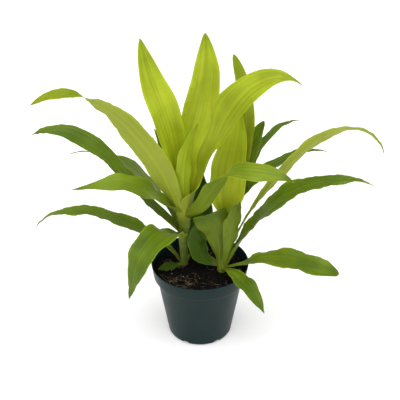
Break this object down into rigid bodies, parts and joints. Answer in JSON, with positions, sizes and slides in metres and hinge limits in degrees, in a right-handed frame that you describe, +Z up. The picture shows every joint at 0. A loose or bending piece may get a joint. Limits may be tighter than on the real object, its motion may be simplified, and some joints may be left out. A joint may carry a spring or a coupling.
{
  "type": "potted dracaena",
  "caption": "Leafy house plant: sheathed stems of arching, wavy-edged strap leaves in lime and green, standing in soil in a round, tapered nursery pot with a collared rim.",
  "frame": {"origin": "middle of the pot's base, on the surface that the pot stands on", "axes": "+Z up the pot's axis, +X to the right and +Y to the back as the plant is seen from its front"},
  "size_m": [0.3718, 0.1607, 0.3407],
  "materials": {
    "pot": "dark slate green moulded plastic with a soft sheen",
    "soil": "near-black bark and peat crumbs",
    "sheaths": "pale green wrapped leaf sheaths",
    "leaf_lime": "lime green, finely veined, soft sheen",
    "leaf_green": "mid green, finely veined, soft sheen",
    "leaf_dark": "deep green, finely veined, soft sheen"
  },
  "bodies": {
    "root": {"pot": "pot", "soil": "soil", "stem_left": "sheaths", "stem_right": "sheaths", "leaf_left_tall": "leaf_lime", "leaf_left_centre": "leaf_lime", "leaf_left_broad_arch": "leaf_lime", "leaf_left_spear": "leaf_lime", "leaf_left_long_arch": "leaf_lime", "leaf_left_upper_side": "leaf_dark", "leaf_left_behind": "leaf_dark", "leaf_left_level": "leaf_green", "leaf_left_lowest": "leaf_dark", "leaf_left_drooping": "leaf_green", "leaf_left_back": "leaf_dark", "leaf_left_crossing": "leaf_green", "leaf_left_inner": "leaf_dark", "leaf_left_small": "leaf_dark", "leaf_right_broad": "leaf_lime", "leaf_right_tall": "leaf_lime", "leaf_right_long_arch": "leaf_lime", "leaf_right_dark": "leaf_dark", "leaf_right_blunt": "leaf_green", "leaf_right_drooping": "leaf_green", "leaf_right_fan": "leaf_green", "leaf_right_fan_side": "leaf_green", "leaf_right_back_upper": "leaf_dark", "leaf_right_back_peak": "leaf_dark", "leaf_right_back_lower": "leaf_dark", "leaf_right_inner": "leaf_dark"}
  },
  "joints": []
}
